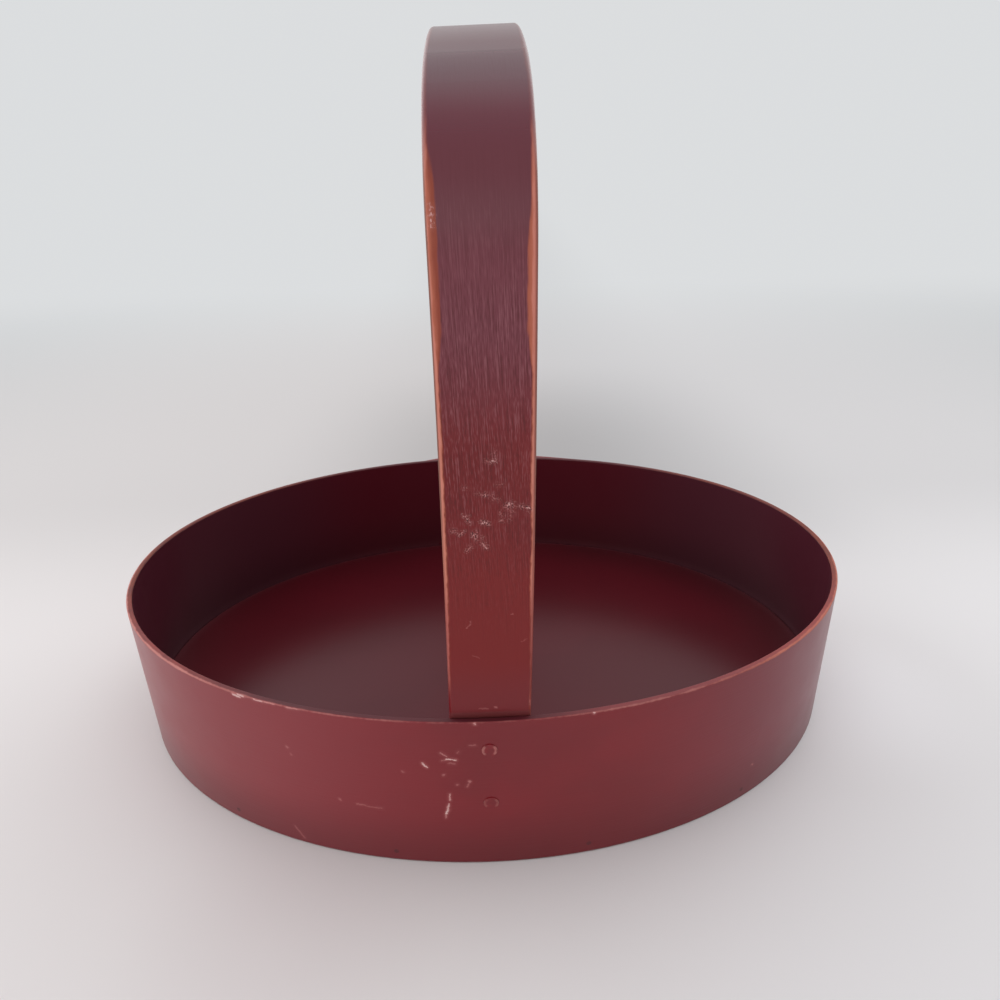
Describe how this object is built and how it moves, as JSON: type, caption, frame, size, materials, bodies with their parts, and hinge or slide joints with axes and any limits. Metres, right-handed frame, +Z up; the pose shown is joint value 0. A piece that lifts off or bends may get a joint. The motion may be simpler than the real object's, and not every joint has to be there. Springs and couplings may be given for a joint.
{
  "type": "oval carrier box",
  "caption": "Open oval box of bent wood with swallowtail fingers lapped at the back, a pegged bottom board and a tall fixed bail handle riveted inside the long walls.",
  "frame": {"origin": "centre of the oval on the surface that the box stands on", "axes": "+X along the oval, +Y across it towards the lapped back, +Z up"},
  "size_m": [0.3048, 0.2253, 0.2625],
  "materials": {
    "painted_wood": "satin barn-red paint, worn to orange-tan on the corners",
    "peg_wood": "end grain painted over",
    "copper": "copper, painted over with the wood and rubbed bare at the rings"
  },
  "bodies": {
    "root": {"side_band": "painted_wood", "bottom_board": "painted_wood", "handle": "painted_wood", "front_rivets": "copper", "back_rivets": "copper", "front_burrs": "copper", "back_burrs": "copper", "bottom_pegs": "peg_wood", "finger_tacks": "copper"}
  },
  "joints": []
}
